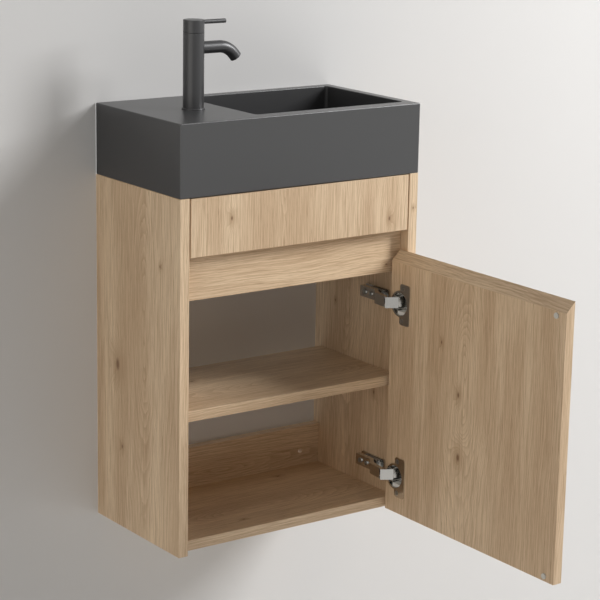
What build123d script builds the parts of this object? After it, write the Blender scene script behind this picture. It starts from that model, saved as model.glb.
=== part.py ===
from build123d import *
import math
import os

# Wall-hung cloakroom vanity: an oak-veneered cabinet with one inset door on two
# concealed hinges, a dark block basin with the tap deck on its left, a pillar
# tap and a push-open waste. Millimetres, X to the viewer's right, Y towards the
# wall, Z up. The origin is on the wall, midway between the upper wall screws.
# The door is drawn closed and then stands open by door_opening, its rest place.

# Overall
width = 400.0
depth = 220.0
cabinet_height = 500.0
basin_height = 100.0
screw_from_top = 45.0           # upper wall screws, below the cabinet's top
lower_screw_height = 38.0       # lower wall screws, above its underside
screw_spacing = 300.0
wall_hole_radius = 4.0

# Boards
board = 15.0
door_thickness = 15.0
edge_ease = 0.5                 # small chamfer on every board's edges
past = 1.0                      # cutting shapes run this far past a face
reveal = 2.0                    # gap beside the door and the front panel
pad_thickness = 2.0             # mounting pads behind the front panel, and the door's gap
panel_top_gap = 1.0             # between the front panel and the basin
front_panel_height = 80.0
grip_gap = 30.0                 # finger space between the door and the front panel
grip_rail_drop = 33.0           # grip rail's lower edge below the door's top edge
door_bevel = 15.0               # 45 degree bevel inside the door's top edge
shelf_underside = 186.0
shelf_play = 0.5
lower_rail_height = 62.0
upper_rail_height = 80.0

# Board joints
fit = 0.05                      # radial play of a pin, dowel or screw in its hole
dowel_radius = 4.0
dowel_in_side = 10.0
dowel_in_board = 20.0
dowel_play = 0.5                # spare depth at each end of a blind hole
dowel_inset_front = 55.0        # bottom panel's dowels, from the cabinet's front
dowel_inset_back = 22.0         # and from its back
dowel_inset_edge = 12.0         # rails' dowels, from the rails' long edges
cam_radius = 7.5
cam_depth = 11.0
cam_reach = 24.0                # cam's axis from the board's end
cam_inset_front = 88.0          # bottom panel's cams, from the cabinet's front
cam_inset_back = 55.0           # and from its back
cam_above_middle = 8.0          # back rails' cams, above their middle line
cam_slot_half = 5.0             # half the length of a cam's cross slot
cam_slot_side = 0.8             # half its width
cam_slot_depth = 1.5
bolt_radius = 2.5
bolt_in_side = 9.0
shelf_pin_radius = 2.5
shelf_pin_inset = 35.0          # pins from the shelf's front and back edges
shelf_pin_in_side = 8.0
shelf_pin_out = 9.0
panel_screw_radius = 2.0
panel_screw_length = 25.0
screw_head_radius = 3.8
screw_head_depth = 2.2
recess_length = 3.4             # cross recess in a screw's head
recess_width = 0.9
recess_depth = 1.2
panel_screw_inset = 44.0        # from the front panel's ends
panel_screw_edge = 20.0         # from its long edges
pad_radius = 10.0
buffer_radius = 4.0
buffer_inset = 18.0             # from the door's opening edge
buffer_play = 0.2               # between the closed door's buffers and the boards
buffer_below_bevel = 2.0

# Door hinges, two of one kind
door_opening = 90.0
pivot_from_edge = 6.7           # door's turning axis, from its hinge edge
pivot_from_front = 4.2
upper_hinge_from_top = 74.5     # hinge's middle below the door's top edge
lower_hinge_from_bottom = 55.5  # hinge's middle above the door's lower edge
cup_radius = 17.5
cup_depth = 12.0
cup_wall = 0.8
cup_from_edge = 22.5            # cup's centre from the door's hinge edge
flange_height = 60.0
flange_width = 22.0
flange_thickness = 1.5
flange_rim = 1.8                # flange ring beyond the cup
flange_corner = 4.0
cup_screw_spacing = 48.0
cup_screw_offset = 6.0          # cup screws beyond the cup's centre
cup_screw_length = 11.0
arm_height = 16.0
sheet = 1.2                     # sheet steel of the arm and the outer link
arm_pin = (-21.3, 4.2)          # outer link's pin in the arm, from the turning axis
inner_arm_pin = (-17.7, 9.3)    # inner link's pin in the arm, from the turning axis
outer_link_throw = 8.0          # outer link's cup end, from the turning axis
inner_link_throw = 9.0          # inner link's cup end, from the turning axis
pin_radius = 1.0
eye_radius = 1.9                # link and arm metal round a pin
link_web_offset = 2.5           # outer link's plate from its pins' line
link_overlap = 0.3              # outer link's plate past its cup pin
link_gap = 0.3                  # play between links, arm and cup pins
inner_link_height = 7.0
inner_link_thickness = 1.6
inner_link_bulge = 3.0          # inner link's bow round the cup's rim
inner_link_end_radius = 1.1     # its rounded end in the cup
outer_link_end_radius = 1.6
flank_recess = 0.5              # outer link's flanks behind its pins' line, clear of the cup's rim
cheek_inset = 8.0               # cup's pin cheeks, from its centre towards the door's edge
damper_play = 0.3
damper_below = 3.0              # damper's top below the arm's underside
damper_length = 13.0            # damper's end from the cup's centre
damper_from_cheek = 2.0
plate_length = 55.0
plate_height = 17.0
plate_thickness = 3.0
plate_from_front = 37.0
plate_corner = 3.0
plate_screw_inset = 4.5         # plate's screws from its ends
plate_screw_grip = 10.0         # their length in the side panel
rib_inset = 10.0                # rib's ends from the plate's ends
rib_play = 1.0                  # between the rib and the arm's flanks
rib_height = 9.0                # plate's raised rib, from the side panel
arm_back = 87.0                 # arm's back end from the cabinet's front
arm_bend_back = 53.0
arm_bend_front = 38.0
arm_nose_end = 12.5             # arm's plate ends here, short of its pins
arm_back_offset = 17.0          # arm's face from the side panel, at its back
arm_bend_offset = 28.0          # and at its front bend
arm_nose_offset = 30.5          # and at its nose
arm_wing = 7.0                  # depth of the arm's flanks
arm_screw_radius = 4.0          # fixing screw's head
adjust_screw_radius = 3.2       # adjusting screw's head
arm_screw_inset = 11.0          # fixing screw from the arm's back end
adjust_screw_inset = 26.0
arm_screw_head = 1.6
arm_screw_gap = 1.0             # arm screws end this far before the side panel's plate
arm_slot_side = 0.5             # half the width of their cross slots
arm_slot_depth = 1.0
arm_slot_share = 0.7            # slot's half length as a share of the head's radius
head_over_shank = 1.0           # heads stand this much wider than their shanks

# Basin
rim_front = 22.0
rim_right = 14.0
rim_back = 15.0
bowl_left = 134.5               # bowl's left edge from the basin's left side
bowl_depth = 78.0
bowl_corner = 5.0
bowl_floor_radius = 4.5
bowl_rim_edge = 1.0
basin_edge = 1.5
basin_wall = 15.0
deck_thickness = 16.0
floor_thickness = 13.0
deck_web = 12.0                 # between the deck's hollow and the bowl
tap_hole_radius = 14.0
waste_hole_radius = 22.5

# Waste
waste_flange_radius = 31.5
waste_flange_thickness = 2.5
waste_flange_edge = 1.5
waste_tail_radius = 20.95       # outside of a G 1 1/4 thread
waste_bore_radius = 17.5
waste_tail_length = 62.0
waste_groove_width = 3.0        # thread relief below the waste's nut
waste_groove_depth = 1.2
plug_radius = 30.0
plug_thickness = 4.0
plug_edge = 3.0
plug_gap = 0.5                  # between the plug pressed down and the flange
plug_stem_radius = 4.0
plug_lift = 7.0
plug_stem_end = 1.5             # pressed stem's end above the latch's bar
waste_nut_radius = 28.0
waste_nut_thickness = 9.0
waste_seal_thickness = 3.0
latch_radius = 9.0
latch_length = 22.0
latch_arm = 3.0
latch_bar_height = 4.0
latch_let_in = 0.5              # bar's ends in the waste body's wall
latch_play = 0.3                # round the plug's stem
latch_below_flange = 4.0        # latch's top below the bowl's floor, with the plug pressed

# Tap
tap_from_left = 86.0
tap_from_front = 103.5
tap_radius = 14.5
tap_height = 122.0
tap_ring_radius = 16.0
tap_ring_thickness = 2.5
tap_ring_edge = 1.0
cap_height = 17.0
cap_seam = 0.5
cap_edge = 0.8
cap_bore_spare = 0.2            # above the spindle's length
spout_radius = 8.5
spout_wall = 1.5
spout_axis_height = 83.4
spout_run = 41.0                # straight run, from the tap's axis to the bend
spout_bend_radius = 31.0
spout_bend = 50.0
spout_end_run = 5.5
spout_root_gap = 0.5            # spout's inner end from the water chamber
aerator_length = 6.0
aerator_recess = 0.6            # aerator's face inside the spout's mouth
aerator_slot_pitch = 2.4
aerator_slot_width = 1.0
aerator_slot_depth = 3.0
aerator_slot_field = 5.6        # radius of the slotted middle
lever_radius = 3.0
lever_axis_drop = 3.8           # lever's axis below the cap's top
lever_reach = 51.0              # lever's tip from the tap's axis
lever_root = 8.0
lever_edge = 0.5
bore_radius = 10.5              # water chamber in the tap body
chamber_below_spout = 3.0       # chamber's floor below the spout's opening
cartridge_radius = 7.5
cartridge_wall = 2.0
cartridge_collar = 10.5         # threaded collar at the top of the tap body
cartridge_inlet = 4.0           # water way through the seal and the cartridge's floor
seat_seal_thickness = 2.0
cartridge_floor = 3.0
disc_thickness = 2.5
disc_gap = 0.1                  # between the turning disc and the fixed one
port_width = 2.4                # water port in each disc
port_length = 3.0
window_height = 6.0             # cartridge's water windows, above the discs
spindle_radius = 4.0
spindle_neck = 2.5
spindle_height = 9.0            # spindle above the cartridge, inside the cap
tail_radius = 10.48             # outside of a G 1/2 thread
tail_length = 62.0
tail_bore = 6.0
tail_in_body = 4.5              # tail's screwed length in the tap body
inlet_length = 28.0             # threaded end for the water hose
inlet_groove_width = 2.0        # thread relief above it
inlet_groove_depth = 1.0
tap_nut_radius = 17.0
tap_nut_thickness = 7.0
tap_washer_radius = 19.0
tap_washer_thickness = 2.0

# Places worked out from the sizes
left = -width / 2
right = width / 2
front = -depth
base = screw_from_top - cabinet_height
top = base + cabinet_height
deck = top + basin_height
inner_left = left + board
inner_right = right - board
rail_front = front + door_thickness + pad_thickness
rear_front = -board
panel_top = top - panel_top_gap
panel_bottom = panel_top - front_panel_height
door_top = panel_bottom - grip_gap
grip_rail_bottom = door_top - grip_rail_drop
door_left = inner_left + reveal
door_right = inner_right - reveal
pivot_x = door_right - pivot_from_edge
pivot_y = front + pivot_from_front
cup_x = door_right - cup_from_edge
cup_mouth = front + door_thickness
hinge_z = {"lower": base + lower_hinge_from_bottom, "upper": door_top - upper_hinge_from_top}
tap_x = left + tap_from_left
tap_y = front + tap_from_front
bowl_x0 = left + bowl_left
bowl_x1 = right - rim_right
bowl_y0 = front + rim_front
bowl_y1 = -rim_back
bowl_floor = deck - bowl_depth
waste_x = (bowl_x0 + bowl_x1) / 2
waste_y = (bowl_y0 + bowl_y1) / 2

parts = {}


def block(x0, x1, y0, y1, z0, z1):
    """Box between two corners."""
    return Pos(x0, y0, z0) * Box(x1 - x0, y1 - y0, z1 - z0, align=(Align.MIN,) * 3)


def rod(x, y, z, radius, length, along="Z"):
    """Round bar that starts at a point and runs along an axis, back if length is negative."""
    turn = {"X": Rot(0, 90, 0), "Y": Rot(-90, 0, 0), "Z": Rot(0, 0, 0)}[along]
    step = {"X": (1, 0, 0), "Y": (0, 1, 0), "Z": (0, 0, 1)}[along]
    shift = min(length, 0.0)
    place = Pos(x + step[0] * shift, y + step[1] * shift, z + step[2] * shift)
    bar = Cylinder(radius, abs(length), align=(Align.CENTER, Align.CENTER, Align.MIN))
    return place * turn * bar


def eased(shape):
    """Board with its edges taken off a little."""
    return chamfer(shape.edges(), edge_ease)


def cut(shape, tools):
    """Shape less every tool in a list."""
    for tool in tools:
        shape = shape - tool
    return shape


def keep(name, *solids):
    """Name a node and put its solids in it."""
    parts[name] = solids[0] if len(solids) == 1 else Compound(children=list(solids))


def opened(shape):
    """Door piece turned from its closed place to the open rest place."""
    return shape.rotate(Axis((pivot_x, pivot_y, 0), (0, 0, 1)), door_opening)


# Where each cross board meets the two side panels: dowels and cam bolts as
# (y, z) of their axes, and the way each cam is bored into its board.
bottom_mid = base + board / 2
grip_mid = rail_front + board / 2
rear_mid = rear_front + board / 2
cross_joints = {
    "bottom_panel": {
        "dowels": [(front + dowel_inset_front, bottom_mid), (-dowel_inset_back, bottom_mid)],
        "cams": [(front + cam_inset_front, bottom_mid), (-cam_inset_back, bottom_mid)],
        "bored": "down",
    },
    "grip_rail": {
        "dowels": [(grip_mid, grip_rail_bottom + dowel_inset_edge), (grip_mid, top - dowel_inset_edge)],
        "cams": [(grip_mid, (grip_rail_bottom + top) / 2)],
        "bored": "back",
    },
    "back_rail_upper": {
        "dowels": [
            (rear_mid, top - upper_rail_height + dowel_inset_edge),
            (rear_mid, top - dowel_inset_edge),
        ],
        "cams": [(rear_mid, top - upper_rail_height / 2 + cam_above_middle)],
        "bored": "back",
    },
    "back_rail_lower": {
        "dowels": [(rear_mid, base + board + dowel_inset_edge)],
        "cams": [(rear_mid, base + board + lower_rail_height / 2 + cam_above_middle)],
        "bored": "back",
    },
}
ends = ((inner_left, 1), (inner_right, -1))


def dowels(play):
    """All dowels; with play they are the holes for them."""
    shapes = []
    spare = dowel_play if play else 0.0
    length = dowel_in_side + dowel_in_board + 2 * spare
    for joint in cross_joints.values():
        for y, z in joint["dowels"]:
            for x, way in ends:
                start = x - way * (dowel_in_side + spare)
                shapes.append(rod(start, y, z, dowel_radius + play, way * length, "X"))
    return shapes


def cam_bolts(play):
    """Cam bolts, each from inside the side panel to its cam's axis."""
    shapes = []
    spare = dowel_play if play else 0.0
    length = bolt_in_side + cam_reach + spare
    for joint in cross_joints.values():
        for y, z in joint["cams"]:
            for x, way in ends:
                start = x - way * (bolt_in_side + spare)
                shapes.append(rod(start, y, z, bolt_radius + play, way * length, "X"))
    return shapes


def cam_body(x, y, z, bored, radius, depth_in):
    """Cylinder of a cam or its pocket, let in from the board's hidden face."""
    if bored == "down":
        return rod(x, y, base, radius, depth_in)
    return rod(x, y + board / 2, z, radius, -depth_in, "Y")


def cam_places():
    """Centre and boring of every cam."""
    for joint in cross_joints.values():
        for y, z in joint["cams"]:
            for x, way in ends:
                yield x + way * cam_reach, y, z, joint["bored"]


def cam_pockets():
    return [cam_body(x, y, z, way, cam_radius + fit, cam_depth) for x, y, z, way in cam_places()]


def cam_locks():
    """Cams with a cross slot for the screwdriver and a bore for the bolt."""
    cams = []
    for x, y, z, way in cam_places():
        cam = cam_body(x, y, z, way, cam_radius, cam_depth)
        slots = []
        for a, b in ((cam_slot_half, cam_slot_side), (cam_slot_side, cam_slot_half)):
            if way == "down":
                slots.append(block(x - a, x + a, y - b, y + b, base, base + cam_slot_depth))
            else:
                face = y + board / 2
                slots.append(block(x - a, x + a, face - cam_slot_depth, face, z - b, z + b))
        cams.append(cut(cam, slots + cam_bolts(fit)))
    return cams


def shelf_pins(play):
    """Four pins under the shelf."""
    pins = []
    z = base + shelf_underside - shelf_pin_radius
    spare = dowel_play if play else 0.0
    for y in (rail_front + shelf_pin_inset, rear_front - shelf_pin_inset):
        for x, way in ends:
            start = x - way * (shelf_pin_in_side + spare)
            length = shelf_pin_in_side + shelf_pin_out + spare
            pins.append(rod(start, y, z, shelf_pin_radius + play, way * length, "X"))
    return pins


def panel_screw_places():
    """Screws and pads that hold the front panel, as (x, z)."""
    for x in (door_left + panel_screw_inset, door_right - panel_screw_inset):
        for z in (panel_bottom + panel_screw_edge, panel_top - panel_screw_edge):
            yield x, z


def wood_screw(x, y, z, radius, length, along, play=0.0):
    """Countersunk screw whose head lies flush at the point; length may be negative."""
    way = math.copysign(1.0, length)
    shank = rod(x, y, z, radius + play, length, along)
    turn = {"X": Rot(0, 90 * way, 0), "Y": Rot(-90 * way, 0, 0)}[along]
    head = Cone(
        screw_head_radius + play,
        radius + play,
        screw_head_depth,
        align=(Align.CENTER, Align.CENTER, Align.MIN),
    )
    screw = shank + Pos(x, y, z) * turn * head
    if play:
        return screw
    recess = Pos(x, y, z) * turn * Box(recess_length, recess_width, 2 * recess_depth)
    cross = Pos(x, y, z) * turn * Box(recess_width, recess_length, 2 * recess_depth)
    return screw - recess - cross


def panel_screws(play=0.0):
    back_face = rail_front + board
    return [
        wood_screw(x, back_face, z, panel_screw_radius, -panel_screw_length, "Y", play)
        for x, z in panel_screw_places()
    ]


def plate_screws(name, play=0.0):
    """Two screws from a mounting plate into the right side panel."""
    z = hinge_z[name]
    y0 = front + plate_from_front
    face = inner_right - plate_thickness
    return [
        wood_screw(face, y, z, panel_screw_radius, plate_thickness + plate_screw_grip, "X", play)
        for y in (y0 + plate_screw_inset, y0 + plate_length - plate_screw_inset)
    ]


def cup_screws(name, play=0.0):
    """Two screws from the cup's flange into the closed door."""
    z = hinge_z[name]
    x = cup_x - cup_screw_offset
    face = cup_mouth + flange_thickness
    return [
        wood_screw(x, face, z + side * cup_screw_spacing / 2, panel_screw_radius, -cup_screw_length,
                   "Y", play)
        for side in (-1, 1)
    ]


def make_side_panels():
    holes = dowels(fit) + cam_bolts(fit) + shelf_pins(fit)
    left_panel = eased(block(left, inner_left, front, 0, base, top))
    right_panel = eased(block(inner_right, right, front, 0, base, top))
    keep("side_panel_left", cut(left_panel, holes))
    for name in hinge_z:
        holes = holes + plate_screws(name, fit)
    keep("side_panel_right", cut(right_panel, holes))


def make_cross_boards():
    holes = dowels(fit) + cam_bolts(fit) + cam_pockets()
    bottom = eased(block(inner_left, inner_right, rail_front, 0, base, base + board))
    keep("bottom_panel", cut(bottom, holes))
    rail = eased(block(inner_left, inner_right, rail_front, rail_front + board, grip_rail_bottom, top))
    keep("grip_rail", cut(rail, holes + panel_screws(fit)))
    rails = {
        "back_rail_upper": (top - upper_rail_height, top, top - screw_from_top),
        "back_rail_lower": (base + board, base + board + lower_rail_height, base + lower_screw_height),
    }
    for name, (z0, z1, screw_z) in rails.items():
        rail = eased(block(inner_left, inner_right, rear_front, 0, z0, z1))
        bores = [
            rod(side * screw_spacing / 2, rear_front - past, screw_z, wall_hole_radius, board + 2 * past, "Y")
            for side in (-1, 1)
        ]
        keep(name, cut(rail, holes + bores))
    keep("carcass_dowels", *dowels(0))
    keep("cam_bolts", *cam_bolts(0))
    keep("cam_locks", *cam_locks())


def make_shelf():
    x0, x1 = inner_left + shelf_play, inner_right - shelf_play
    z0 = base + shelf_underside
    keep("shelf", eased(block(x0, x1, rail_front, rear_front, z0, z0 + board)))
    keep("shelf_pins", *shelf_pins(0))


def make_front_panel():
    panel = eased(block(door_left, door_right, front, front + door_thickness, panel_bottom, panel_top))
    keep("front_panel", cut(panel, panel_screws(fit)))
    pads = []
    for x, z in panel_screw_places():
        pad = rod(x, front + door_thickness, z, pad_radius, pad_thickness, "Y")
        pads.append(cut(pad, panel_screws(fit)))
    keep("front_panel_pads", *pads)
    keep("front_panel_screws", *panel_screws())


def make_door():
    """Door drawn closed: flush front, 45 degree bevel inside its top edge."""
    y1 = front + door_thickness
    board_door = eased(block(door_left, door_right, front, y1, base, door_top))
    profile = make_face(
        Polyline(
            (y1 - door_bevel, door_top),
            (y1 + past, door_top),
            (y1 + past, door_top - door_bevel - past),
            close=True,
        )
    )
    wedge = extrude(Plane.YZ.offset(door_left - past) * profile, door_right - door_left + 2 * past)
    tools = [wedge]
    for name, z in hinge_z.items():
        tools.append(rod(cup_x, cup_mouth + past, z, cup_radius + fit, -cup_depth - past, "Y"))
        tools += cup_screws(name, fit)
    keep("door", opened(cut(board_door, tools)))
    x = door_left + buffer_inset
    buffers = [
        rod(x, y1, z, buffer_radius, pad_thickness - buffer_play, "Y")
        for z in (base + board / 2, door_top - door_bevel - buffer_radius - buffer_below_bevel)
    ]
    keep("door_buffers", *[opened(b) for b in buffers])


def hinge_pin_places():
    """Arm end, closed cup end and open cup end of the outer and the inner link.

    A link carries its cup end from the closed to the open place, so the arm's
    pin lies on the line that halves the angle between them at the door's axis.
    """
    axis = Vector(pivot_x, pivot_y, 0)
    places = []
    for pin, throw in ((arm_pin, outer_link_throw), (inner_arm_pin, inner_link_throw)):
        angle = math.atan2(pin[1], pin[0])
        half = math.radians(door_opening) / 2
        closed, open_ = [
            axis + Vector(math.cos(turn), math.sin(turn), 0) * throw
            for turn in (angle - half, angle + half)
        ]
        places.append((axis + Vector(pin[0], pin[1], 0), closed, open_))
    return places


def level_slab(outline, z0, z1):
    """Flat piece between two heights; its level outline is a list of points or an edge loop."""
    if isinstance(outline, list):
        outline = Polyline(*outline, close=True)
    return extrude(Pos(0, 0, z0) * make_face(outline), z1 - z0)


def link_frame(start, end):
    """Function from u along a link and n towards the room's side to a level point."""
    run = (end - start).normalized()
    side = Vector(run.Y, -run.X, 0)

    def place(u, n):
        point = start + run * u + side * n
        return (point.X, point.Y)

    return place


def make_outer_link(name, start, end):
    """Channel link: a plate towards the room and two eared flanks, in its open place."""
    z = hinge_z[name]
    at = link_frame(start, end)
    length = (end - start).length
    half = arm_height / 2
    inner, outer = link_web_offset, link_web_offset + sheet
    tip = length + link_overlap
    link = level_slab([at(-eye_radius, inner), at(tip, inner), at(tip, outer), at(-eye_radius, outer)],
                      z - half, z + half)
    root = inner + sheet / 2
    flank = [at(0, root), at(0, flank_recess), at(length, flank_recess), at(length, root)]
    flank_outside = half - sheet - link_gap
    for z0 in (z - flank_outside, z + flank_outside - sheet):
        link = link + level_slab(flank, z0, z0 + sheet)
        link = link + rod(start.X, start.Y, z0, eye_radius, sheet)
        link = link + rod(end.X, end.Y, z0, outer_link_end_radius, sheet)
    for point in (start, end):
        link = link - rod(point.X, point.Y, z - half, pin_radius + fit, arm_height)
    return link


def make_inner_link(name, start, end):
    """Bowed link that steps over the cup's rim, in its open place."""
    z = hinge_z[name] - inner_link_height / 2
    at = link_frame(start, end)
    length = (end - start).length
    half = inner_link_thickness / 2
    bow = inner_link_bulge
    outline = (
        ThreePointArc(at(0, half), at(length / 2, bow + half), at(length, half))
        + Line(at(length, half), at(length, -half))
        + ThreePointArc(at(length, -half), at(length / 2, bow - half), at(0, -half))
        + Line(at(0, -half), at(0, half))
    )
    link = level_slab(outline, z, z + inner_link_height)
    link = link + rod(start.X, start.Y, z, eye_radius, inner_link_height)
    link = link + rod(end.X, end.Y, z, inner_link_end_radius, inner_link_height)
    return link - rod(start.X, start.Y, z, pin_radius + fit, inner_link_height)


def arm_face():
    """Arm's face towards the cabinet, from its back end to its nose, as (x, y)."""
    return [
        (inner_right - arm_back_offset, front + arm_back),
        (inner_right - arm_back_offset, front + arm_bend_back),
        (inner_right - arm_bend_offset, front + arm_bend_front),
        (inner_right - arm_nose_offset, front + arm_nose_end),
    ]


def shifted(points, dx):
    return [(x + dx, y) for x, y in points]


def make_arm(name, pins):
    """Cranked channel arm: a face towards the cabinet and two flanks that hold the pins."""
    z = hinge_z[name]
    half = arm_height / 2
    face = arm_face()
    arm = level_slab(face + shifted(face, sheet)[::-1], z - half, z + half)
    flank = shifted(face, sheet / 2)
    flank += [
        (pins[0].X - eye_radius, pins[0].Y),
        (pins[0].X, pins[0].Y - eye_radius),
        (pins[1].X + eye_radius, pins[1].Y),
    ]
    flank += shifted(face, arm_wing)[2::-1]
    for z0 in (z - half, z + half - sheet):
        arm = arm + level_slab(flank, z0, z0 + sheet)
        for pin in pins:
            arm = arm + rod(pin.X, pin.Y, z0, eye_radius, sheet)
    holes = [rod(pin.X, pin.Y, z - half - past, pin_radius, arm_height + 2 * past) for pin in pins]
    for y, radius in arm_screw_places():
        shank = radius - head_over_shank + fit
        holes.append(rod(face[0][0] - past, y, z, shank, sheet + 2 * past, "X"))
    return cut(arm, holes)


def arm_screw_places():
    """Fixing and adjusting screw on the arm, as (y, head radius)."""
    back = front + arm_back
    return ((back - arm_screw_inset, arm_screw_radius), (back - adjust_screw_inset, adjust_screw_radius))


def arm_screws(name):
    """Two machine screws from the arm's face into the plate's rib."""
    z = hinge_z[name]
    face = inner_right - arm_back_offset
    screws = []
    for y, radius in arm_screw_places():
        head = rod(face, y, z, radius, -arm_screw_head, "X")
        length = arm_back_offset - plate_thickness - arm_screw_gap
        shank = rod(face, y, z, radius - head_over_shank, length, "X")
        a, b = arm_slot_share * radius, arm_slot_side
        x0 = face - arm_screw_head - past
        x1 = face - arm_screw_head + arm_slot_depth
        slot = block(x0, x1, y - b, y + b, z - a, z + a)
        cross = block(x0, x1, y - a, y + a, z - b, z + b)
        screws.append(head + shank - slot - cross)
    return screws


def make_plate(name):
    """Mounting plate with its raised rib, on the right side panel."""
    z = hinge_z[name]
    y0 = front + plate_from_front
    half = plate_height / 2
    plate = block(inner_right - plate_thickness, inner_right, y0, y0 + plate_length, z - half, z + half)
    plate = fillet(plate.edges().filter_by(Axis.X), plate_corner)
    rib_half = arm_height / 2 - sheet - rib_play
    rib = block(
        inner_right - rib_height,
        inner_right - plate_thickness,
        y0 + rib_inset,
        y0 + plate_length - rib_inset,
        z - rib_half,
        z + rib_half,
    )
    plate = plate + rib
    bores = [
        rod(inner_right - rib_height - past, y, z, radius - head_over_shank + fit, rib_height, "X")
        for y, radius in arm_screw_places()
    ]
    return cut(plate, plate_screws(name, fit) + bores)


def make_cup(name, cup_pin):
    """Drawn cup with its flange, screw wings and two cheeks for the pins, in the closed door."""
    z = hinge_z[name]
    wings = block(
        cup_x - flange_width,
        cup_x,
        cup_mouth,
        cup_mouth + flange_thickness,
        z - flange_height / 2,
        z + flange_height / 2,
    )
    wings = fillet(wings.edges().filter_by(Axis.Y), flange_corner)
    ring = rod(cup_x, cup_mouth, z, cup_radius + flange_rim, flange_thickness, "Y")
    well = rod(cup_x, cup_mouth + flange_thickness, z, cup_radius, -cup_depth - flange_thickness, "Y")
    room = cup_radius - cup_wall
    floor = cup_mouth - cup_depth + cup_wall
    hollow = rod(cup_x, floor, z, room, cup_depth + flange_thickness + past, "Y")
    cup = (wings + ring + well) - hollow
    reach = arm_height / 2 + 2 * link_gap
    for z0 in (z - reach - sheet, z + reach):
        cheek = block(cup_x + cheek_inset, cup_x + room + cup_wall / 2, floor - cup_wall / 2,
                      cup_mouth - link_gap, z0, z0 + sheet)
        cup = cup + (cheek & rod(cup_x, floor - cup_wall, z, room + cup_wall / 2, cup_depth + past, "Y"))
    return cut(cup, [rod(cup_pin.X, cup_pin.Y, z - cup_radius, pin_radius, 2 * cup_radius)]
               + cup_screws(name, fit))


def cup_pins(name, cup_pin):
    """Two stub pins in the cup's cheeks, at the outer link's end."""
    z = hinge_z[name]
    reach = arm_height / 2 + link_gap
    length = link_gap + sheet
    return [rod(cup_pin.X, cup_pin.Y, z + side * reach, pin_radius, side * length) for side in (-1, 1)]


def make_damper(name):
    """White closing damper lying in the lower part of the cup."""
    z = hinge_z[name]
    floor = cup_mouth - cup_depth + cup_wall + damper_play
    inner = rod(cup_x, floor, z, cup_radius - cup_wall - damper_play, cup_mouth - floor - damper_play, "Y")
    top_z = z - arm_height / 2 - damper_below
    x0 = cup_x - damper_length
    x1 = cup_x + cheek_inset - damper_from_cheek
    return inner & block(x0, x1, front, cup_mouth, z - cup_radius, top_z)


def make_hinges():
    (fixed_a, closed_a, open_a), (fixed_b, _, open_b) = hinge_pin_places()
    for name in hinge_z:
        z = hinge_z[name]
        keep(f"{name}_hinge_cup", opened(make_cup(name, closed_a)))
        keep(f"{name}_hinge_damper", opened(make_damper(name)))
        keep(f"{name}_hinge_arm", make_arm(name, (fixed_a, fixed_b)))
        keep(f"{name}_hinge_plate", make_plate(name))
        keep(f"{name}_hinge_outer_link", make_outer_link(name, fixed_a, open_a))
        keep(f"{name}_hinge_inner_link", make_inner_link(name, fixed_b, open_b))
        pins = [rod(p.X, p.Y, z - arm_height / 2, pin_radius, arm_height) for p in (fixed_a, fixed_b)]
        keep(f"{name}_hinge_arm_pins", *pins)
    both = list(hinge_z)
    keep("hinge_cup_pins", *[opened(p) for n in both for p in cup_pins(n, closed_a)])
    keep("hinge_cup_screws", *[opened(s) for n in both for s in cup_screws(n)])
    keep("hinge_plate_screws", *[s for n in both for s in plate_screws(n)])
    keep("hinge_arm_screws", *[s for n in both for s in arm_screws(n)])


def make_basin():
    """Block basin: bowl on the right, tap deck on the left, hollow underneath."""
    body = fillet(block(left, right, front, 0, top, deck).edges(), basin_edge)
    bowl = block(bowl_x0, bowl_x1, bowl_y0, bowl_y1, bowl_floor, deck + past)
    bowl = fillet(bowl.edges().filter_by(Axis.Z), bowl_corner)
    bowl = fillet(bowl.faces().sort_by(Axis.Z)[0].edges(), bowl_floor_radius)
    deck_hollow = block(
        left + basin_wall, bowl_x0 - deck_web, front + basin_wall, -basin_wall,
        top - past, deck - deck_thickness,
    )
    floor_hollow = block(
        left + basin_wall, right - basin_wall, front + basin_wall, -basin_wall,
        top - past, bowl_floor - floor_thickness,
    )
    basin = cut(body, [bowl, deck_hollow, floor_hollow])
    basin = basin - rod(tap_x, tap_y, deck - deck_thickness - past, tap_hole_radius, deck_thickness + 2 * past)
    basin = basin - rod(waste_x, waste_y, top, waste_hole_radius, basin_height)
    rim = [e for e in basin.edges() if abs(e.center().Z - deck) < 0.01 and inside_bowl_rim(e)]
    keep("basin", fillet(rim, bowl_rim_edge))


def inside_bowl_rim(edge):
    """Whether a top edge belongs to the bowl's mouth."""
    c = edge.center()
    return bowl_x0 - 0.1 < c.X < bowl_x1 + 0.1 and bowl_y0 - 0.1 < c.Y < bowl_y1 + 0.1


def hexagon_nut(x, y, z, radius, bore, thickness):
    nut = Pos(x, y, z) * extrude(RegularPolygon(radius, 6), thickness)
    return nut - rod(x, y, z - past, bore, thickness + 2 * past)


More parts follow.
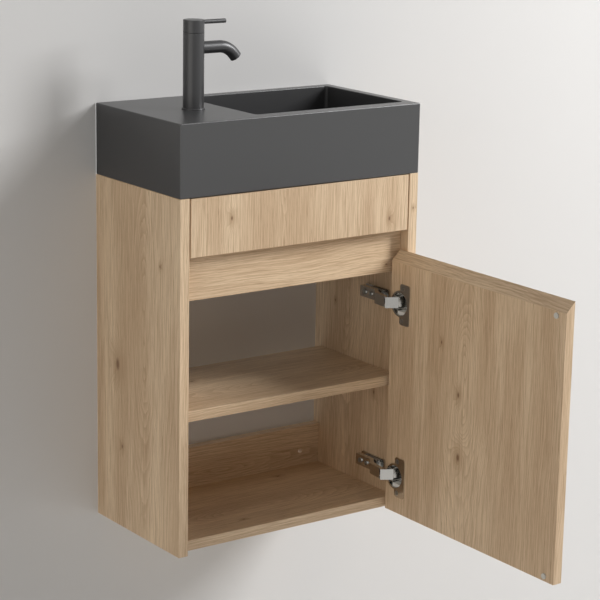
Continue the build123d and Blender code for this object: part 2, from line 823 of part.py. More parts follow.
def make_waste():
    """Push-open waste: threaded body, seal, nut, latch and its plug, raised."""
    x, y = waste_x, waste_y
    floor_top = bowl_floor
    under = bowl_floor - floor_thickness
    flange = rod(x, y, floor_top, waste_flange_radius, waste_flange_thickness)
    flange = fillet(flange.edges().sort_by(Axis.Z)[-1], waste_flange_edge)
    tail = rod(x, y, floor_top + past, waste_tail_radius, -waste_tail_length - past)
    bore = rod(x, y, floor_top + waste_flange_thickness + past, waste_bore_radius,
               -waste_tail_length - waste_flange_thickness - 2 * past)
    nut_top = under - waste_seal_thickness
    nut_bottom = nut_top - waste_nut_thickness
    groove = rod(x, y, nut_bottom, waste_tail_radius + past, -waste_groove_width)
    groove = groove - rod(x, y, nut_bottom + past, waste_tail_radius - waste_groove_depth,
                          -waste_groove_width - 2 * past)
    bar_z = floor_top - latch_length
    reach = waste_bore_radius + latch_let_in
    bridge = block(x - reach, x + reach, y - latch_arm / 2, y + latch_arm / 2,
                   bar_z - latch_bar_height, bar_z)
    keep("waste_body", (flange + tail - bore - groove) + bridge)
    seal = rod(x, y, under, waste_nut_radius, -waste_seal_thickness)
    keep("waste_seal", seal - rod(x, y, under + past, waste_tail_radius + fit, -waste_seal_thickness - 2 * past))
    nut = hexagon_nut(x, y, nut_bottom, waste_nut_radius, waste_tail_radius + fit, waste_nut_thickness)
    keep("waste_nut", nut)
    latch = rod(x, y, bar_z, latch_radius, latch_length - plug_lift - latch_below_flange)
    latch_bore = rod(x, y, bar_z + latch_play, plug_stem_radius + latch_play, latch_length)
    keep("waste_latch", latch - latch_bore)
    plug_under = floor_top + waste_flange_thickness + plug_gap + plug_lift
    plug = rod(x, y, plug_under, plug_radius, plug_thickness)
    plug = fillet(plug.edges().sort_by(Axis.Z)[-1], plug_edge)
    stem_end = bar_z + plug_stem_end + plug_lift
    stem = rod(x, y, stem_end, plug_stem_radius, plug_under + plug_thickness / 2 - stem_end)
    keep("waste_plug", plug + stem)


def make_tap():
    x, y = tap_x, tap_y
    ring = rod(x, y, deck, tap_ring_radius, tap_ring_thickness)
    ring = fillet(ring.edges().sort_by(Axis.Z)[-1], tap_ring_edge)
    keep("tap_base_ring", ring - rod(x, y, deck - past, tail_radius + fit, tap_ring_thickness + 2 * past))

    body_bottom = deck + tap_ring_thickness
    cap_bottom = deck + tap_height - cap_height
    body_top = cap_bottom - cap_seam
    spout_z = deck + spout_axis_height
    chamber_floor = spout_z - spout_radius - chamber_below_spout
    body = rod(x, y, body_bottom, tap_radius, body_top - body_bottom)
    body = body - rod(x, y, chamber_floor, bore_radius, body_top - chamber_floor + past)
    body = body - rod(x, y, body_bottom - past, tail_radius + fit, tail_in_body + past + fit)
    body = body - rod(x, y, body_bottom, tail_bore, chamber_floor - body_bottom + past)
    body = body - rod(x, y, spout_z, spout_radius + fit, tap_radius + past, "X")
    keep("tap_body", body)

    tail_top = body_bottom + tail_in_body
    tail = rod(x, y, tail_top, tail_radius, -tail_length)
    groove_z = tail_top - tail_length + inlet_length
    groove = rod(x, y, groove_z, tail_radius + past, inlet_groove_width)
    groove = groove - rod(x, y, groove_z - past, tail_radius - inlet_groove_depth,
                          inlet_groove_width + 2 * past)
    bore = rod(x, y, tail_top + past, tail_bore, -tail_length - 2 * past)
    keep("tap_tail", tail - groove - bore)

    make_cartridge(x, y, chamber_floor, body_top)

    cap = rod(x, y, cap_bottom, tap_radius, cap_height)
    cap = fillet(cap.edges().sort_by(Axis.Z)[-1], cap_edge)
    cap = cap - rod(x, y, cap_bottom - past, spindle_radius + fit, spindle_height + past + cap_bore_spare)
    lever_z = deck + tap_height - lever_axis_drop
    cap = cap - rod(x + tap_radius - lever_root, y, lever_z, lever_radius, lever_root + past, "X")
    keep("tap_cap", cap)
    lever = rod(x + tap_radius - lever_root, y, lever_z, lever_radius, lever_reach - tap_radius + lever_root, "X")
    keep("tap_lever", fillet(lever.edges().sort_by(Axis.X)[-1], lever_edge))

    make_spout(x, y, spout_z)
    make_tap_fixing(x, y)


def make_cartridge(x, y, floor, top_z):
    """Quarter-turn valve: seal, cartridge with windows, two ceramic discs and the spindle."""
    seal = rod(x, y, floor, cartridge_radius, seat_seal_thickness)
    keep("tap_seat_seal", seal - rod(x, y, floor - past, cartridge_inlet, seat_seal_thickness + 2 * past))
    bottom = floor + seat_seal_thickness
    disc_z = bottom + cartridge_floor
    turning_z = disc_z + disc_thickness + disc_gap
    spindle_z = turning_z + disc_thickness
    window_z = spindle_z + disc_thickness
    room = cartridge_radius - cartridge_wall
    barrel = rod(x, y, bottom, cartridge_radius, top_z - bottom)
    barrel = barrel + rod(x, y, top_z - cartridge_collar, bore_radius - fit, cartridge_collar)
    window = Box(2 * cartridge_radius + past, room, window_height, align=(Align.CENTER, Align.CENTER, Align.MIN))
    barrel = cut(barrel, [
        rod(x, y, bottom - past, cartridge_inlet, cartridge_floor + 2 * past),
        rod(x, y, disc_z, room, window_z + window_height - disc_z),
        rod(x, y, bottom, spindle_radius + disc_gap, top_z - bottom + past),
        Pos(x, y, window_z) * window,
    ])
    keep("tap_cartridge", barrel)
    port = Pos(x, y + room / 2, turning_z) * Box(port_width, port_length, 4 * disc_thickness)
    keep("tap_disc_fixed", rod(x, y, disc_z, room - fit, disc_thickness) - port)
    keep("tap_disc_turning", rod(x, y, turning_z, room - 2 * disc_gap, disc_thickness) - port)
    spindle = rod(x, y, spindle_z, room - 2 * disc_gap, disc_thickness)
    spindle = spindle + rod(x, y, spindle_z, spindle_neck, window_height + disc_thickness + past)
    shaft_z = window_z + window_height
    spindle = spindle + rod(x, y, shaft_z, spindle_radius, top_z + spindle_height - shaft_z)
    keep("tap_spindle", spindle)


def make_spout(x, y, z):
    """Bent spout tube and the aerator in its mouth."""
    start = x + bore_radius + spout_root_gap
    bend_start = (x + spout_run, y, z)
    bend = math.radians(spout_bend)
    bend_end = (
        x + spout_run + spout_bend_radius * math.sin(bend),
        y,
        z - spout_bend_radius * (1 - math.cos(bend)),
    )
    run = Vector(math.cos(bend), 0, -math.sin(bend))
    tip = Vector(*bend_end) + run * spout_end_run
    path = (
        Line((start, y, z), bend_start)
        + TangentArc(bend_start, bend_end, tangent=(1, 0, 0))
        + Line(bend_end, (tip.X, tip.Y, tip.Z))
    )
    section = Plane(origin=(start, y, z), z_dir=(1, 0, 0)) * Circle(spout_radius)
    hollow = Plane(origin=(start, y, z), z_dir=(1, 0, 0)) * Circle(spout_radius - spout_wall)
    spout = sweep(section, path=path) - sweep(hollow, path=path)
    keep("tap_spout", spout)
    root = Plane(origin=tip - run * (aerator_length + aerator_recess), z_dir=run)
    aerator = extrude(root * Circle(spout_radius - spout_wall - fit), aerator_length)
    slots = []
    for k in range(-2, 3):
        offset = k * aerator_slot_pitch
        length = 2 * math.sqrt(aerator_slot_field ** 2 - offset ** 2)
        slot = Box(length, aerator_slot_width, 2 * aerator_slot_depth)
        slots.append(root * Pos(0, offset, aerator_length) * slot)
    keep("tap_aerator", cut(aerator, slots))


def make_tap_fixing(x, y):
    """Washer and nut that clamp the tap from under the deck."""
    under = deck - deck_thickness
    washer = rod(x, y, under, tap_washer_radius, -tap_washer_thickness)
    hole = rod(x, y, under + past, tail_radius + fit, -tap_washer_thickness - 2 * past)
    keep("tap_washer", washer - hole)
    nut_bottom = under - tap_washer_thickness - tap_nut_thickness
    keep("tap_nut", hexagon_nut(x, y, nut_bottom, tap_nut_radius, tail_radius + fit, tap_nut_thickness))


def write_parts():
    os.makedirs("parts", exist_ok=True)
    for name, shape in parts.items():
        export_step(shape, f"parts/{name}.step")
        print(name, len(shape.solids()), round(shape.volume))


make_side_panels()
make_cross_boards()
make_shelf()
make_front_panel()
make_door()
make_hinges()
make_basin()
make_waste()
make_tap()
write_parts()
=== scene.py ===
import bpy
import math
from mathutils import Euler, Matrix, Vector


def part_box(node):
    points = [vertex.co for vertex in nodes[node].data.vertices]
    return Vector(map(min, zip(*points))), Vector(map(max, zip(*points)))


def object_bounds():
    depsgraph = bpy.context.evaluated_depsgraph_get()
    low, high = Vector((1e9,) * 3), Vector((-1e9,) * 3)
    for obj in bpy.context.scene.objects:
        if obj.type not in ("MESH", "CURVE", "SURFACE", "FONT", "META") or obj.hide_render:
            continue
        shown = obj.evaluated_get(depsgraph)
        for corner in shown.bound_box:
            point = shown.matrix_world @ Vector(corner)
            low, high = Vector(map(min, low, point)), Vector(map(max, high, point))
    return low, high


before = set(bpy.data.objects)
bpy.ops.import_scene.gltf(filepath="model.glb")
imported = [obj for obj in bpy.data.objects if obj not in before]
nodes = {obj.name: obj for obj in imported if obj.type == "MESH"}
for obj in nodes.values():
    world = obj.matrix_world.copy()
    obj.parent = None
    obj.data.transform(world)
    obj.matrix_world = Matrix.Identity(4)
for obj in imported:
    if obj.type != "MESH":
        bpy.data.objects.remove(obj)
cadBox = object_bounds()
mm = 0.001
print("packed model loaded:", len(nodes), "nodes")


# helpers for node trees and colours
def shown(red, green, blue):  # a colour as it looks on screen, 0 to 255
    def channel(value):
        value = value / 255
        return value / 12.92 if value <= 0.04045 else ((value + 0.055) / 1.055) ** 2.4
    return (channel(red), channel(green), channel(blue), 1.0)


def feed(tree, socket, source):  # a link or a plain value
    if isinstance(source, bpy.types.NodeSocket):
        tree.links.new(source, socket)
    elif source is not None:
        socket.default_value = source


def calc(tree, operation, first, second=None, third=None):
    node = tree.nodes.new("ShaderNodeMath")
    node.operation = operation
    for socket, source in zip(node.inputs, (first, second, third)):
        feed(tree, socket, source)
    return node.outputs[0]


def vectorCalc(tree, operation, first, second):
    node = tree.nodes.new("ShaderNodeVectorMath")
    node.operation = operation
    feed(tree, node.inputs[0], first)
    feed(tree, node.inputs[1], second)
    return node.outputs["Vector"]


def vectorOf(tree, x, y, z):
    node = tree.nodes.new("ShaderNodeCombineXYZ")
    for socket, source in zip(node.inputs, (x, y, z)):
        feed(tree, socket, source)
    return node.outputs[0]


def splitVector(tree, source):
    node = tree.nodes.new("ShaderNodeSeparateXYZ")
    feed(tree, node.inputs[0], source)
    return node.outputs[0], node.outputs[1], node.outputs[2]


def stretched(tree, source, scales):  # scale a vector axis by axis
    return vectorCalc(tree, "MULTIPLY", source, scales)


def noiseAt(tree, place, detail=2.0, roughness=0.5):
    node = tree.nodes.new("ShaderNodeTexNoise")
    feed(tree, node.inputs["Vector"], place)
    node.inputs["Scale"].default_value = 1.0
    node.inputs["Detail"].default_value = detail
    node.inputs["Roughness"].default_value = roughness
    return node.outputs[0]


def swing(tree, noise, reach):  # from half the reach below zero to half of it above
    return calc(tree, "MULTIPLY_ADD", noise, reach, -reach / 2)


def rise(tree, source, low, high, least=0.0, most=1.0):  # smooth step from least to most
    node = tree.nodes.new("ShaderNodeMapRange")
    node.interpolation_type = "SMOOTHSTEP"
    feed(tree, node.inputs["Value"], source)
    for name, value in (("From Min", low), ("From Max", high), ("To Min", least), ("To Max", most)):
        feed(tree, node.inputs[name], value)
    return node.outputs[0]


def mixed(tree, share, first, second):  # two colours
    node = tree.nodes.new("ShaderNodeMix")
    node.data_type = "RGBA"
    feed(tree, node.inputs[0], share)
    feed(tree, node.inputs[6], first)
    feed(tree, node.inputs[7], second)
    return node.outputs[2]


def mixedVectors(tree, share, first, second):
    node = tree.nodes.new("ShaderNodeMix")
    node.data_type = "VECTOR"
    feed(tree, node.inputs[0], share)
    feed(tree, node.inputs[4], first)
    feed(tree, node.inputs[5], second)
    return node.outputs[1]


def newGroup(name, inputs, outputs):
    tree = bpy.data.node_groups.new(name, "ShaderNodeTree")
    kinds = {"number": "NodeSocketFloat", "vector": "NodeSocketVector", "colour": "NodeSocketColor"}
    for label, kind, value in inputs:
        socket = tree.interface.new_socket(name=label, in_out="INPUT", socket_type=kinds[kind])
        if value is not None:
            socket.default_value = value
    for label, kind in outputs:
        tree.interface.new_socket(name=label, in_out="OUTPUT", socket_type=kinds[kind])
    return tree, tree.nodes.new("NodeGroupInput").outputs, tree.nodes.new("NodeGroupOutput").inputs


def newMaterial(name, colour, roughness=0.5, metallic=0.0):
    material = bpy.data.materials.new(name)
    material.use_nodes = True
    shader = material.node_tree.nodes["Principled BSDF"]
    shader.inputs["Base Color"].default_value = colour
    shader.inputs["Roughness"].default_value = roughness
    shader.inputs["Metallic"].default_value = metallic
    material.diffuse_color = colour
    return material, material.node_tree, shader.inputs


def useGroup(tree, group, **values):
    node = tree.nodes.new("ShaderNodeGroup")
    node.node_tree = group
    for label, value in values.items():
        feed(tree, node.inputs[label.replace("_", " ")], value)
    return node.outputs


def addBump(tree, shaderInputs, height, distance, strength):
    node = tree.nodes.new("ShaderNodeBump")
    node.inputs["Strength"].default_value = strength
    node.inputs["Distance"].default_value = distance
    feed(tree, node.inputs["Height"], height)
    feed(tree, shaderInputs["Normal"], node.outputs[0])


def dress(material, *names):  # give CAD nodes or pieces a material
    for name in names:
        piece = nodes[name] if isinstance(name, str) else name
        piece.data.materials.clear()
        piece.data.materials.append(material)


# oak veneer: place and normal come as (through the board, across the grain, along the grain)
oakTones = {
    "light": shown(232, 207, 174),
    "middle": shown(207, 179, 146),
    "line": shown(164, 131, 97),
    "pore": shown(138, 107, 76),
    "knot": shown(128, 96, 68),
}


# lengths in metres, noise scales per metre (through, across, along), shares of one colour over another
oakGrain = {
    "edgeFacing": 0.6, "endCut": 0.11, "sideCut": 0.09,  # where the edge bands are cut from the log
    "swayScale": (0.0, 2.0, 4.5), "swayReach": 0.03, "nearestRing": 0.003,
    "driftScale": (8.0, 14.0, 3.2), "driftReach": 0.022,
    "rippleScale": (70.0, 130.0, 42.0), "rippleReach": 0.0038,
    "knotStretch": 0.55, "knotPush": 1.3, "knotShadeShare": 0.55, "knotCoreShare": 0.95,
    "unevenScale": (70.0, 1.0, 1.0), "unevenRings": 2.2,
    "lineFade": 1.8, "lineRise": 0.12, "lineShare": 0.55, "leastRingTone": 0.25,
    "paleFade": 5.0, "paleShare": 0.35,
    "fibreScale": (620.0, 620.0, 17.0), "fibreShare": 0.55,
    "fineScale": (1500.0, 1500.0, 34.0), "fineShare": 0.22,
    "poreScale": (1250.0, 1250.0, 62.0), "poreShare": 0.55, "poreOffLine": 0.3,
    "bandScale": (10.0, 22.0, 1.8),
    "roughness": 0.5, "lineRoughness": 0.06, "poreRoughness": 0.2, "lineRelief": -0.25,
    "bumpDistance": 0.00008, "bumpStrength": 0.5,
}


def buildOakFigure():
    g = oakGrain
    tree, given, put = newGroup(
        "oakFigure",
        [("Place", "vector", None), ("Face", "vector", None), ("Crown", "vector", None),
         ("Crown Depth", "number", 0.045), ("Crown Reach", "number", 0.12), ("Ring Gap", "number", 0.005),
         ("Shift", "vector", None), ("Knot One", "vector", None), ("Knot Two", "vector", None),
         ("Knot Three", "vector", None), ("Light", "colour", None), ("Middle", "colour", None),
         ("Line", "colour", None), ("Pore", "colour", None), ("Knot", "colour", None)],
        [("Colour", "colour"), ("Roughness", "number"), ("Relief", "number")])
    through, across, along = splitVector(tree, given["Place"])
    _, faceAcross, faceAlong = splitVector(tree, given["Face"])
    # edge bands: grain along the edge, cut from a quieter part of the log
    onEnd = calc(tree, "GREATER_THAN", calc(tree, "ABSOLUTE", faceAlong), g["edgeFacing"])
    onSide = calc(tree, "GREATER_THAN", calc(tree, "ABSOLUTE", faceAcross), g["edgeFacing"])
    endPlace = vectorOf(tree, 0.0, calc(tree, "ADD", through, g["endCut"]), across)
    sidePlace = vectorOf(tree, 0.0, calc(tree, "ADD", through, g["sideCut"]), along)
    place = mixedVectors(tree, onSide, given["Place"], sidePlace)
    place = mixedVectors(tree, onEnd, place, endPlace)
    through, across, along = splitVector(tree, place)
    shifted = vectorCalc(tree, "ADD", place, given["Shift"])
    crownAcross, crownAlong, _ = splitVector(tree, given["Crown"])

    # the log's rings, cut flat at a slowly changing depth
    sway = noiseAt(tree, stretched(tree, shifted, g["swayScale"]), detail=1.0)
    offset = calc(tree, "SUBTRACT", across, crownAcross)
    offset = calc(tree, "ADD", offset, swing(tree, sway, g["swayReach"]))
    run = calc(tree, "DIVIDE", calc(tree, "SUBTRACT", along, crownAlong), given["Crown Reach"])
    run = calc(tree, "MULTIPLY", run, run)
    depth = calc(tree, "DIVIDE", run, calc(tree, "ADD", run, 1.0))
    depth = calc(tree, "MULTIPLY_ADD", depth, given["Crown Depth"], g["nearestRing"])
    depth = calc(tree, "ADD", depth, through)
    offsetSquare = calc(tree, "MULTIPLY", offset, offset)
    depthSquare = calc(tree, "MULTIPLY", depth, depth)
    ringPlace = calc(tree, "SQRT", calc(tree, "ADD", offsetSquare, depthSquare))
    drift = noiseAt(tree, stretched(tree, shifted, g["driftScale"]), detail=1.0)
    ringPlace = calc(tree, "ADD", ringPlace, swing(tree, drift, g["driftReach"]))
    ripple = noiseAt(tree, stretched(tree, shifted, g["rippleScale"]))
    ringPlace = calc(tree, "ADD", ringPlace, swing(tree, ripple, g["rippleReach"]))

    # knots bend the rings round them
    shade, core = None, None
    for label in ("Knot One", "Knot Two", "Knot Three"):
        knotAcross, knotAlong, knotSize = splitVector(tree, given[label])
        sideways = calc(tree, "SUBTRACT", across, knotAcross)
        lengthways = calc(tree, "MULTIPLY", calc(tree, "SUBTRACT", along, knotAlong), g["knotStretch"])
        square = calc(tree, "ADD", calc(tree, "MULTIPLY", sideways, sideways),
                      calc(tree, "MULTIPLY", lengthways, lengthways))
        ratio = calc(tree, "DIVIDE", square, calc(tree, "MULTIPLY", knotSize, knotSize))
        bell = calc(tree, "EXPONENT", calc(tree, "MULTIPLY", ratio, -1.0))
        push = calc(tree, "MULTIPLY", knotSize, g["knotPush"])
        ringPlace = calc(tree, "ADD", ringPlace, calc(tree, "MULTIPLY", bell, push))
        ratio = calc(tree, "SQRT", ratio)
        thisShade = rise(tree, ratio, 0.1, 1.5, 1.0, 0.0)
        thisCore = rise(tree, ratio, 0.08, 0.34, 1.0, 0.0)
        shade = thisShade if shade is None else calc(tree, "MAXIMUM", shade, thisShade)
        core = thisCore if core is None else calc(tree, "MAXIMUM", core, thisCore)

    rings = calc(tree, "DIVIDE", ringPlace, given["Ring Gap"])
    uneven = noiseAt(tree, stretched(tree, vectorOf(tree, ringPlace, 0.0, 0.0), g["unevenScale"]), detail=1.0)
    rings = calc(tree, "MULTIPLY_ADD", uneven, g["unevenRings"], rings)
    ring = calc(tree, "FLOOR", rings)
    inRing = calc(tree, "FRACT", rings)
    whiteNoise = tree.nodes.new("ShaderNodeTexWhiteNoise")
    whiteNoise.noise_dimensions = "1D"
    feed(tree, whiteNoise.inputs["W"], ring)
    leastTone = g["leastRingTone"]
    ringTone = calc(tree, "MULTIPLY_ADD", whiteNoise.outputs["Value"], 1.0 - leastTone, leastTone)
    line = calc(tree, "POWER", calc(tree, "SUBTRACT", 1.0, inRing), g["lineFade"])
    line = calc(tree, "MULTIPLY", line, rise(tree, inRing, 0.0, g["lineRise"]))
    line = calc(tree, "MULTIPLY", line, ringTone)
    paleLine = calc(tree, "POWER", inRing, g["paleFade"])

    fibre = noiseAt(tree, stretched(tree, shifted, g["fibreScale"]), roughness=0.6)
    fine = noiseAt(tree, stretched(tree, shifted, g["fineScale"]), detail=1.0)
    poreNoise = noiseAt(tree, stretched(tree, shifted, g["poreScale"]), detail=1.0)
    pore = rise(tree, poreNoise, 0.60, 0.72)
    poreShare = calc(tree, "MULTIPLY_ADD", line, 1.0 - g["poreOffLine"], g["poreOffLine"])
    pore = calc(tree, "MULTIPLY", pore, poreShare)
    bands = noiseAt(tree, stretched(tree, shifted, g["bandScale"]))

    colour = mixed(tree, rise(tree, bands, 0.34, 0.68), given["Middle"], given["Light"])
    colour = mixed(tree, calc(tree, "MULTIPLY", line, g["lineShare"]), colour, given["Line"])
    colour = mixed(tree, calc(tree, "MULTIPLY", paleLine, g["paleShare"]), colour, given["Light"])
    colour = mixed(tree, rise(tree, fibre, 0.38, 0.72, 0.0, g["fibreShare"]), colour, given["Line"])
    colour = mixed(tree, rise(tree, fine, 0.45, 0.8, 0.0, g["fineShare"]), colour, given["Light"])
    colour = mixed(tree, calc(tree, "MULTIPLY", pore, g["poreShare"]), colour, given["Pore"])
    colour = mixed(tree, calc(tree, "MULTIPLY", shade, g["knotShadeShare"]), colour, given["Line"])
    colour = mixed(tree, calc(tree, "MULTIPLY", core, g["knotCoreShare"]), colour, given["Knot"])
    feed(tree, put["Colour"], colour)
    roughness = calc(tree, "MULTIPLY_ADD", line, g["lineRoughness"], g["roughness"])
    feed(tree, put["Roughness"], calc(tree, "MULTIPLY_ADD", pore, g["poreRoughness"], roughness))
    relief = calc(tree, "MULTIPLY_ADD", pore, -1.0, calc(tree, "MULTIPLY", line, g["lineRelief"]))
    feed(tree, put["Relief"], relief)
    return tree


oakFigure = buildOakFigure()

# each board: which axes run through it, across and along its grain, and its own figure in millimetres
# from its middle; knots are (across, along, size)
noKnot = (900, 0, 4)  # far off the board
oakBoards = {
    "side_panel_left": {
        "axes": "XYZ", "crown": (-18, 60), "depth": 55, "reach": 150, "gap": 4.0, "shift": 1.3,
        "knots": [(52, -12, 19), (40, -130, 7), (-60, 150, 5)],
    },
    "side_panel_right": {
        "axes": "XYZ", "crown": (30, 140), "depth": 50, "reach": 170, "gap": 3.7, "shift": 5.1,
        "knots": [(-40, -90, 7), (60, 30, 5), (90, 200, 4)],
    },
    "door": {
        "axes": "XYZ", "crown": (15, 30), "depth": 60, "reach": 120, "gap": 3.4, "shift": 9.7,
        "knots": [(26, 18, 9), (66, 85, 6), (22, -72, 13)],
    },
    "front_panel": {
        "axes": "YXZ", "crown": (-30, 0), "depth": 50, "reach": 120, "gap": 3.0, "shift": 13.9,
        "knots": [(-118, 8, 7), (150, -20, 7), noKnot],
    },
    "grip_rail": {
        "axes": "YZX", "crown": (-10, -30), "depth": 30, "reach": 140, "gap": 3.0, "shift": 17.2,
        "knots": [(-60, 160, 5), noKnot, noKnot],
    },
    "back_rail_upper": {
        "axes": "YZX", "crown": (10, 60), "depth": 40, "reach": 160, "gap": 3.3, "shift": 21.8,
        "knots": [noKnot, noKnot, noKnot],
    },
    "back_rail_lower": {
        "axes": "YZX", "crown": (-10, -60), "depth": 40, "reach": 160, "gap": 3.3, "shift": 25.4,
        "knots": [noKnot, noKnot, noKnot],
    },
    "shelf": {
        "axes": "ZYX", "crown": (-30, 40), "depth": 55, "reach": 190, "gap": 3.6, "shift": 29.6,
        "knots": [(30, -90, 6), noKnot, noKnot],
    },
    "bottom_panel": {
        "axes": "ZYX", "crown": (-40, 0), "depth": 50, "reach": 170, "gap": 3.6, "shift": 33.1,
        "knots": [(-70, -60, 6), (60, 90, 7), noKnot],
    },
}


def makeOak(name, board):
    material, tree, shader = newMaterial("oak_" + name, oakTones["middle"], roughness=0.55)
    low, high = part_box(name)
    middle = (low + high) / 2
    coordinates = tree.nodes.new("ShaderNodeTexCoord").outputs
    centring = tree.nodes.new("ShaderNodeMapping")
    feed(tree, centring.inputs["Vector"], coordinates["Object"])
    centring.inputs["Location"].default_value = -middle
    placeAxes = dict(zip("XYZ", splitVector(tree, centring.outputs[0])))
    faceAxes = dict(zip("XYZ", splitVector(tree, coordinates["Normal"])))
    place = vectorOf(tree, *[placeAxes[axis] for axis in board["axes"]])
    face = vectorOf(tree, *[faceAxes[axis] for axis in board["axes"]])
    values = {
        "Place": place, "Face": face, "Crown": (board["crown"][0] * mm, board["crown"][1] * mm, 0.0),
        "Crown_Depth": board["depth"] * mm, "Crown_Reach": board["reach"] * mm, "Ring_Gap": board["gap"] * mm,
        "Shift": (board["shift"], board["shift"] * 0.37, board["shift"] * 0.61),
    }
    for label, knot in zip(("Knot_One", "Knot_Two", "Knot_Three"), board["knots"]):
        values[label] = tuple(length * mm for length in knot)
    for tone, colour in oakTones.items():
        values[tone.capitalize()] = colour
    figure = useGroup(tree, oakFigure, **values)
    feed(tree, shader["Base Color"], figure["Colour"])
    feed(tree, shader["Roughness"], figure["Roughness"])
    addBump(tree, shader, figure["Relief"], oakGrain["bumpDistance"], oakGrain["bumpStrength"])
    return material


for name, board in oakBoards.items():
    dress(makeOak(name, board), name)
print("oak boards veneered")

# plain finishes
finishes = {
    "beech": (shown(214, 182, 138), 0.6, 0.0),
    "zinc": (shown(176, 178, 176), 0.34, 1.0),
    "nickel": (shown(205, 203, 199), 0.16, 1.0),
    "whiteNylon": (shown(226, 226, 222), 0.42, 0.0),
    "clearRubber": (shown(205, 203, 196), 0.35, 0.0),
    "darkStone": (shown(52, 52, 53), 0.32, 0.0),
    "gunmetal": (shown(68, 68, 69), 0.36, 0.5),
    "blackNylon": (shown(38, 38, 39), 0.5, 0.0),
    "greyNylon": (shown(120, 121, 122), 0.5, 0.0),
    "brass": (shown(206, 170, 96), 0.3, 1.0),
    "blackRubber": (shown(30, 30, 30), 0.7, 0.0),
    "ceramic": (shown(236, 234, 228), 0.3, 0.0),
}
plain = {label: newMaterial(label, *values)[0] for label, values in finishes.items()}
stoneShader = plain["darkStone"].node_tree.nodes["Principled BSDF"]
stoneShader.inputs["Specular IOR Level"].default_value = 0.8
for level in ("upper", "lower"):
    for kind in ("arm", "plate", "arm_pins", "cup", "outer_link", "inner_link"):
        dress(plain["nickel"], f"{level}_hinge_{kind}")
    dress(plain["whiteNylon"], f"{level}_hinge_damper")
dress(plain["nickel"], "hinge_cup_pins")
dress(plain["beech"], "carcass_dowels")
dress(plain["zinc"], "cam_bolts", "cam_locks", "front_panel_screws", "shelf_pins", "hinge_cup_screws",
      "hinge_plate_screws", "hinge_arm_screws")
dress(plain["clearRubber"], "front_panel_pads", "door_buffers")
dress(plain["darkStone"], "basin")
dress(plain["gunmetal"], "waste_body", "waste_plug", "tap_base_ring", "tap_body", "tap_spout", "tap_cap",
      "tap_lever")
dress(plain["blackNylon"], "waste_nut")
dress(plain["brass"], "waste_latch", "tap_tail", "tap_cartridge", "tap_spindle", "tap_nut")
dress(plain["blackRubber"], "waste_seal", "tap_seat_seal", "tap_washer")
dress(plain["ceramic"], "tap_disc_fixed", "tap_disc_turning")
dress(plain["greyNylon"], "tap_aerator")
print("plain finishes set")

# wall and floor
stageSizes = {
    "wallHalfWidth": 2.6, "wallTop": 2.2, "floorHeight": -0.86, "wallGap": 0.0005,
    "holeMargin": 0.0005, "floorFront": -3.6, "floorBack": 0.6,
    "patchSide": 0.188, "patchLow": -0.382, "patchHigh": -0.031,
}


def flatPiece(name, corners, faces):
    mesh = bpy.data.meshes.new(name)
    mesh.from_pydata([Vector(corner) for corner in corners], [], faces)
    piece = bpy.data.objects.new(name, mesh)
    bpy.context.scene.collection.objects.link(piece)
    return piece


def oneSided(name, colour, roughness, lightsInside=False):  # clear when seen from behind
    material, tree, shader = newMaterial(name, colour, roughness)
    behind = tree.nodes.new("ShaderNodeNewGeometry").outputs["Backfacing"]
    if lightsInside:  # soft light from behind reaches the cabinet through it
        path = tree.nodes.new("ShaderNodeLightPath").outputs
        behind = calc(tree, "MAXIMUM", behind, path["Is Diffuse Ray"])
    clear = tree.nodes.new("ShaderNodeBsdfTransparent")
    choice = tree.nodes.new("ShaderNodeMixShader")
    feed(tree, choice.inputs[0], behind)
    tree.links.new(tree.nodes["Principled BSDF"].outputs[0], choice.inputs[1])
    tree.links.new(clear.outputs[0], choice.inputs[2])
    tree.links.new(choice.outputs[0], tree.nodes["Material Output"].inputs["Surface"])
    return material


def makeStage():
    s = stageSizes
    low, high = cadBox
    y = s["wallGap"]
    x0, x1 = low[0] + s["holeMargin"], high[0] - s["holeMargin"]
    z0, z1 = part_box("bottom_panel")[0].z + s["holeMargin"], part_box("basin")[1].z - s["holeMargin"]
    out, top, floor = s["wallHalfWidth"], s["wallTop"], s["floorHeight"]
    wall = flatPiece("wall", [
        (-out, y, floor), (out, y, floor), (out, y, top), (-out, y, top),
        (x0, y, z0), (x1, y, z0), (x1, y, z1), (x0, y, z1),
    ], [(0, 1, 5, 4), (1, 2, 6, 5), (2, 3, 7, 6), (3, 0, 4, 7)])
    side = s["patchSide"]
    bottom, lid = s["patchLow"], s["patchHigh"]
    patch = flatPiece("wallBehindOpenBack", [
        (-side, y, bottom), (side, y, bottom), (side, y, lid), (-side, y, lid),
    ], [(0, 1, 2, 3)])
    front, back = s["floorFront"], s["floorBack"]
    ground = flatPiece("floor", [
        (-out, front, floor), (out, front, floor), (out, back, floor), (-out, back, floor),
    ], [(0, 1, 2, 3)])
    paint = shown(214, 213, 212)
    dress(oneSided("wallPaint", paint, 0.8), wall)
    dress(oneSided("wallPaintInside", paint, 0.8, lightsInside=True), patch)
    dress(newMaterial("floorPaint", shown(222, 221, 219), 0.7)[0], ground)


makeStage()

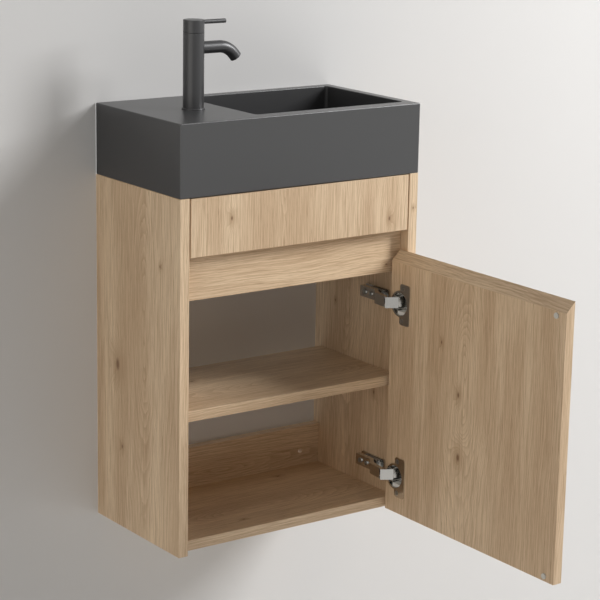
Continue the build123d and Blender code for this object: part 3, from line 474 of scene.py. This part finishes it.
# lights: all aimed at lampTarget, sizes in metres, power in watts
lamps = {
    "keySoftbox": {
        "place": (2.4, -1.9, 1.6), "size": (0.8, 1.5), "power": 115, "colour": (1.0, 1.0, 1.0),
    },
    "leftSoftbox": {
        "place": (-3.0, -1.15, 0.5), "size": (2.8, 2.4), "power": 23, "colour": (1.0, 0.955, 0.89),
    },
    "rearSoftbox": {
        "place": (0.6, 3.0, 1.2), "size": (2.4, 1.6), "power": 60, "colour": (1.0, 1.0, 1.0),
    },
}
lampTarget = Vector((0.0, -0.12, -0.12))


def addLamp(name, spec):
    light = bpy.data.lights.new(name, "AREA")
    light.shape = "RECTANGLE"
    light.size, light.size_y = spec["size"]
    light.energy = spec["power"]
    light.color = spec["colour"]
    lamp = bpy.data.objects.new(name, light)
    lamp.location = spec["place"]
    lamp.rotation_euler = (lampTarget - lamp.location).to_track_quat("-Z", "Y").to_euler()
    bpy.context.scene.collection.objects.link(lamp)


for name, spec in lamps.items():
    addLamp(name, spec)

backgroundLight = {"onObject": 0.17, "seen": 0.92}


def makeWorld():
    world = bpy.data.worlds.new("studio")
    bpy.context.scene.world = world
    world.use_nodes = True
    tree = world.node_tree
    background = tree.nodes["Background"]
    background.inputs["Color"].default_value = (1.0, 0.995, 0.985, 1.0)
    path = tree.nodes.new("ShaderNodeLightPath").outputs
    seen = calc(tree, "MAXIMUM", path["Is Camera Ray"], path["Is Glossy Ray"])
    seen = calc(tree, "MAXIMUM", seen, path["Is Transmission Ray"])
    strength = calc(tree, "MULTIPLY_ADD", seen, backgroundLight["seen"] - backgroundLight["onObject"],
                    backgroundLight["onObject"])
    feed(tree, background.inputs["Strength"], strength)


makeWorld()
print("wall, floor and lights ready")

# camera, solved from the unit's own corners in the photograph
cameraView = {"place": (-1.61984, -2.46439, 0.56202), "turn": (76.2355, -1.0288, -35.5114), "lens": 123.367}


def makeCamera():
    lensData = bpy.data.cameras.new("camera")
    lensData.lens = cameraView["lens"]
    lensData.sensor_width = 36.0
    camera = bpy.data.objects.new("camera", lensData)
    camera.location = cameraView["place"]
    camera.rotation_euler = Euler([math.radians(angle) for angle in cameraView["turn"]])
    bpy.context.scene.collection.objects.link(camera)
    bpy.context.scene.camera = camera


makeCamera()
bpy.context.scene.view_settings.view_transform = "Standard"
print("camera ready")
